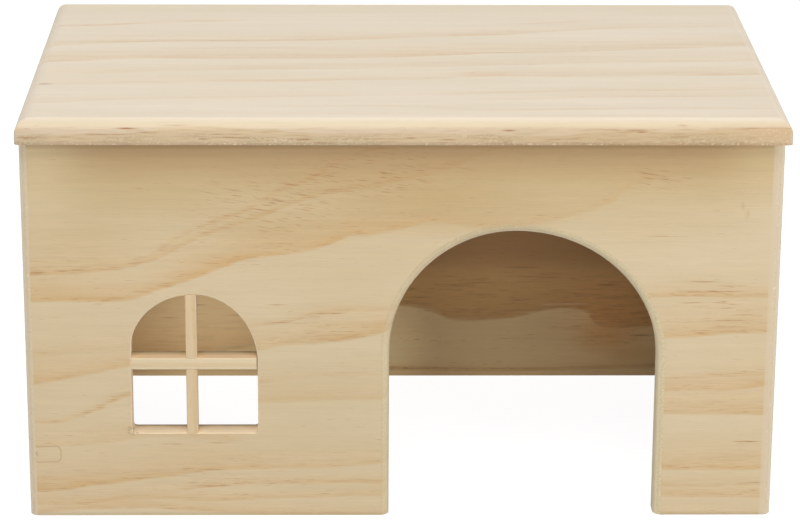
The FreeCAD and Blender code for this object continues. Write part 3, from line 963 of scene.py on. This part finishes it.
def roof_board():
    """The roof's board: long, nearly straight rings. Across is counted from the walls' front."""
    board = Board("roof_pine", "XYZ", ROOF_REACH, ROOF_LEVELS, ROOF_TOP, lean=0.8, seed=31,
                  start=FRONT_FACE, tones=ROOF_TONES, patches=ROOF_PATCHES)
    for ring in ROOF_RINGS:
        board.ring(*ring)
    for lower, upper, amount in ROOF_BANDS:
        patchy = board.streaks(ROOF_BAND_PATCHES).line(*NOISE_MIDDLE, *ROOF_BAND_RANGE)
        board.warm(board.between(lower, upper) * patchy, amount)
    back = board.across.ramp(122, 150)
    board.warm(back, strength=0.55)
    roof_edge(board)
    knot = board.zone(-119, 41, 4, 2.2, 4)
    board.darken(knot, strength=0.6)
    return board.finish(ROOF_ROUGHNESS)


def roof_edge(board):
    """The roof's rounded edges: warm below a line, with a painted highlight on the crest, hairs, streaks and
    grit.

    The fine bands of the roof's top start behind the front edge.
    """
    under = board.drawn(ROOF_EDGE_LINE, *ROOF_EDGE_LEVELS) - board.depth + board.cross_shift * 0.5
    board.warm(under.ramp(-0.2, 0.5) * board.across.ramp(-0.5, -2.0))
    rounded = board.across.ramp(-0.6, -2.6)
    board.warm(rounded, strength=0.6)
    turned = 0.0 - board.facing[1]
    # Painted highlight where the rounded front edge and ends turn towards the light.
    painted_highlight = turned.ramp(0.05, 0.3) * turned.ramp(0.8, 0.5)
    board.mark(painted_highlight, "painted_highlight", strength=0.5)
    end_highlight = board.tilt.ramp(0.05, 0.4) * board.tilt.ramp(0.98, 0.8)
    board.mark(end_highlight, "painted_highlight", strength=0.45)
    below_crest = board.across.ramp(-1.6, -3.2) * board.depth.ramp(137.0, 134.8)
    board.tint(below_crest, ROOF_TINTS["edge"])
    edge = board.across.ramp(-2.6, -3.6)
    board.tint(edge * board.hairs(EDGE_HAIRS, EDGE_HAIR_TURN, EDGE_HAIR_EDGE), ROOF_TINTS["hairs"])
    rough = edge * board.depth.ramp(135.0, 132.5) * board.streaks(ROUGH_PATCHES).line(0.46, 0.56)
    board.tint(rough, ROOF_TINTS["rough"])
    grit = board.streaks(FINE_GRIT).line(0.5, 0.66)
    board.mark(rough * grit, "chip", strength=0.22)
    board.tint(board.tilt.ramp(0.3, 0.8), ROOF_TINTS["ends"])
    lowest = board.depth.ramp(131.6, 130.2)
    board.tint(edge * lowest, ROOF_TINTS["lowest"])
    bands = board.streaks(FINE_BANDS).line(*NOISE_MIDDLE)
    behind_edge = board.across.ramp(-1.0, 2.0)
    board.tint(bands * behind_edge, ROOF_TINTS["bands"], strength=0.6)
    right_end = board.along.ramp(98, 118)
    board.mark(edge * right_end, "blush", strength=0.3)
    right_half = board.along.ramp(-10, 50)
    board.tint(edge * right_half, ROOF_TINTS["edge_right"])
    low = board.depth.ramp(132.0, 130.2) + board.along.ramp(104, 120) * 0.8
    torn = edge * low.math("MINIMUM", 1.0) * board.streaks(ROOF_CHIPS).ramp(0.60, 0.68)
    board.mark(torn, "chip", strength=0.24)
    broken = board.streaks(ROOF_GRIT).line(*GRIT_RANGE)
    for along, up, length, width, strength in ROOF_EDGE_STREAKS:
        streak = board.spot((along, ROOF_EDGE_ACROSS, up), (length, ROOF_EDGE_DEEP, width))
        board.darken(streak * broken, strength)


# -------- back wall

BACK_ROUGHNESS = 0.5
# Written light, partly as painted light for the wall's shaded inner side.
BACK_TONES = dict(
    TONES,
    pale=(0.90, 0.67, 0.36),
    warm=(0.71, 0.415, 0.162),
    late=(0.54, 0.28, 0.085),
    resin=(0.26, 0.11, 0.04),
)

# The inner side stands in shade and is written lighter than the outer one.
BACK_TINTS = dict(
    outer=(0.73, 0.80, 0.98),
    # Painted light through the window and beside the doorway, and painted shade behind its middle:
    light_behind_window=(1.49, 1.84, 2.52),
    light_left_of_door=(1.27, 1.3, 1.34),
    shade_behind_door=(0.93, 0.94, 0.94),
    light_right_of_door=(1.15, 1.04, 0.95),
)

# (along, up): the edge of the brown heartwood, and the noise that frays it.
HEART_LINE = [
    (-125, 6), (-90, 8), (-60, 11), (-40, 16), (-30, 22), (-3, 28), (4, 27.7), (16, 24.8), (20, 22.9),
    (32, 22.6), (49, 24.7), (56, 26.6), (69, 26.6), (75, 21), (80, 19.6), (97, 20.3), (125, 22),
]
HEART_RING = (HEART_LINE, [(-125, 0.3), (0, 0.5), (97, 0.6), (125, 0.5)], 3.0, 0.6)
LOW_RING = ([(-125, 2), (0, 2.6), (40, 2.2), (88, 3.4), (125, 4)], [(-125, 0.4), (0, 0.5), (125, 0.6)], 1.0)
FINGERS = Grain((26.0, 1.6, 1.6), 13, 3.0, 0.6)
FINGER_LEFT = 7.0
FINGER_RIGHT = 15.0

# (height, rise, strength, fade) of the rings on the back wall's outer face.
BACK_RINGS = [
    (38, 6, 0.5, 2.4), (52, 8, 0.6, 3.4), (66, 5, 0.4, 1.6), (79, 9, 0.7, 3.6), (93, 6, 0.45, 2.0),
    (104, 4, 0.6, 2.8), (117, 3, 0.4, 1.6),
]

BACK_HAIRS = Grain((11.0, 0.8, 0.8), 14, 3.0, 0.65)
TONGUE_HAIRS = BACK_HAIRS._replace(number=15)
# Where the painted shade on the back wall's upper part starts, and over what height.
INNER_SHADE_FROM = 37
INNER_SHADE_RISE = 12
INNER_EDGE = (61, 58)
OUTER_EDGE = (58.5, 63.5)
BACK_MARK_DEEP = 9
BACK_TINT_DEEP = 12

# (along, up, half length, half width, strength) of the dark streaks on the inner side.
BACK_STREAKS = [
    (47, 42.8, 16, 0.9, 0.75), (50, 39.2, 11, 0.5, 0.6), (59, 45.2, 9, 0.6, 0.6), (43.5, 51.7, 8, 1.7, 0.5),
    (60, 49.4, 6, 0.9, 0.6), (78.5, 35.9, 7, 0.8, 0.8), (81, 31, 10, 1.1, 0.5), (91.5, 16, 7, 0.6, 0.9),
    (8.4, 31, 7, 0.6, 0.6), (17.3, 41.3, 4, 0.4, 0.6), (-74, 28, 6, 0.6, 0.7), (-84, 23, 5, 0.5, 0.5),
    (-55, 31, 7, 0.6, 0.6), (-58, 24, 9, 0.5, 0.5), (-52, 20, 7, 0.5, 0.5),
]
BACK_STREAK_SHARE = 0.7


def back_board():
    """The back wall: brown heartwood above a wavy line, pale wood below it, with painted light and shade on
    its inner side.
    """
    board = Board("back_pine", "XZY", WALL_REACH, WALL_LEVELS, BACK_FACE, lean=0.5, seed=57,
                  middle=WALLS_MIDDLE, tones=BACK_TONES)
    fingers = (board.streaks(FINGERS) - 0.5) * board.along.ramp(35, 60, FINGER_LEFT, FINGER_RIGHT)
    above = board.level + fingers - board.drawn(HEART_LINE, *board.levels)
    heart = above.ramp(-1.2, 1.8) * board.depth.ramp(*OUTER_EDGE, 1.0, 0.6)
    board.warm(heart)
    board.ring(*HEART_RING)
    board.ring(*LOW_RING)
    outer = board.depth.ramp(59, 63)
    for height, rise, strength, fade in BACK_RINGS:
        line = [(-125, height), (-50, height + rise), (30, height + 0.4 * rise), (125, height - 0.5 * rise)]
        shown = [(-125, strength), (0, 0.6 * strength), (125, strength)]
        board.ring(line, shown, fade, 0.3, 0.4, only=outer)
    hairs = board.streaks(BACK_HAIRS).line(0.52, 0.72) * board.along.ramp(-45, -15, 0.2, 0.45)
    board.darken(heart * hairs)
    # Painted shade high on the back wall under the roof, strongest on its inner side.
    shade_top = (board.level - INNER_SHADE_FROM).ramp(0, INNER_SHADE_RISE)
    board.darken(shade_top * board.depth.ramp(*INNER_EDGE, 0.15, 0.5))
    board.tint(board.depth.ramp(*OUTER_EDGE), BACK_TINTS["outer"])
    fewer_left = board.along.ramp(-50, -30, -0.45, 0.3)
    board.fleck(fewer_left)
    brown_tongue(board)
    # Painted light and shade on the inner side.
    inner = board.depth.ramp(*INNER_EDGE)
    tinted = dict(
        light_behind_window=inner * heart * board.zone(-68, 26, 66, 34, BACK_TINT_DEEP),
        light_left_of_door=inner * board.zone(-2, 12, 20, 22, BACK_TINT_DEEP),
        shade_behind_door=inner * board.zone(40, 22, 32, 26, BACK_TINT_DEEP),
        light_right_of_door=inner * board.zone(78, 22, 26, 26, BACK_TINT_DEEP),
    )
    for place, share in tinted.items():
        board.tint(share, BACK_TINTS[place])
    for *place, strength in BACK_STREAKS:
        board.darken(board.zone(*place, STREAK_DEEP) * strength * BACK_STREAK_SHARE)
    return board.finish(BACK_ROUGHNESS)


def brown_tongue(board):
    """The brown tongue that hangs below the heartwood's edge, at the doorway's right."""
    board.warm(board.zone(88, 9, 22, 8, BACK_MARK_DEEP), strength=0.6)
    board.warm(board.zone(79, 16, 24, 13, BACK_MARK_DEEP), strength=0.8)
    hairs = board.streaks(TONGUE_HAIRS).line(0.48, 0.7)
    board.darken(board.zone(77, 22, 28, 18, BACK_MARK_DEEP) * hairs, strength=0.5)


# -------- side walls

SIDE_REACH = (-80, 70)

# (height, rise, strength, fade) of the rings on a side wall.
SIDE_RINGS = [
    (6, 3, 0.4, 1.4), (19, 4, 0.6, 2.4), (33, 7, 0.5, 3.0), (49, 8, 0.7, 2.6), (62, 6, 0.45, 1.4),
    (78, 9, 0.75, 3.4), (92, 5, 0.4, 1.2), (106, 6, 0.55, 2.4), (119, 3, 0.4, 1.4),
]


def side_board(name, seed):
    """A side wall, with its grain from front to back."""
    board = Board(name, "YZX", SIDE_REACH, WALL_LEVELS, face=0, lean=0.4, seed=seed)
    for height, rise, strength, fade in SIDE_RINGS:
        line = [(-80, height), (-20, height + rise), (25, height + 0.6 * rise), (70, height - 0.4 * rise)]
        shown = [(-80, strength), (0, 0.7 * strength), (70, strength)]
        board.ring(line, shown, fade, 0.2)
    return board.finish()


# -------- strips and dowels

STRIP_REACH = (-130, 130)
STRIP_RINGS = (
    ([(-130, -68.4), (130, -68.2)], [(-130, 0.35), (130, 0.35)], 0.8),
    ([(-130, 53.2), (130, 53.6)], [(-130, 0.35), (130, 0.35)], 0.8),
)
STRIP_BACK_TINT = (0.98, 0.925, 0.8)

MULLION_TONES = dict(
    TONES,
    pale=(0.605, 0.465, 0.285),
    warm=(0.57, 0.42, 0.24),
)
TRANSOM_TONES = dict(
    TONES,
    pale=(0.635, 0.53, 0.355),
    warm=(0.59, 0.465, 0.285),
    sawn=(0.83, 0.595, 0.355),
)


def strip_board(name, axes, seed, tones):
    """A thin strip of the window's cross, or a dowel: straight grain, darker towards its back."""
    board = Board(name, axes, STRIP_REACH, STRIP_REACH, face=0, seed=seed, tones=tones)
    sawn = board.away.ramp(*SAWN_EDGE)
    board.mark(sawn, board.speckled("sawn", "warm", SAWN_PORE_EDGE), matt=True)
    from_back = board.depth - BAR_BACK
    back_part = from_back.ramp(-4.6, -1.4, 0.0, 0.9)
    board.mark(sawn * back_part, "warm")
    back_half = from_back.ramp(-5.0, -2.0)
    board.tint(sawn * back_half, STRIP_BACK_TINT)
    back_edge = from_back.ramp(-1.7, -0.7)
    board.mark(sawn * back_edge, "shade", strength=0.5)
    for ring in STRIP_RINGS:
        board.ring(*ring)
    return board.finish()


# -------- the whole house

WOOD = dict(
    front_panel=front_board(),
    back_panel=back_board(),
    left_side_panel=side_board("left_pine", 71),
    right_side_panel=side_board("right_pine", 83),
    roof_panel=roof_board(),
    window_mullion=strip_board("mullion_pine", "ZXY", 91, MULLION_TONES),
    window_transom=strip_board("transom_pine", "XZY", 95, TRANSOM_TONES),
)
DOWEL_WOOD = strip_board("dowel_wood", "YXZ", 99, TONES)
for name, node in NODES.items():
    for slot in node.material_slots:
        slot.link = "OBJECT"
        slot.material = WOOD.get(name, DOWEL_WOOD)

bpy.context.scene.view_settings.view_transform = "Standard"
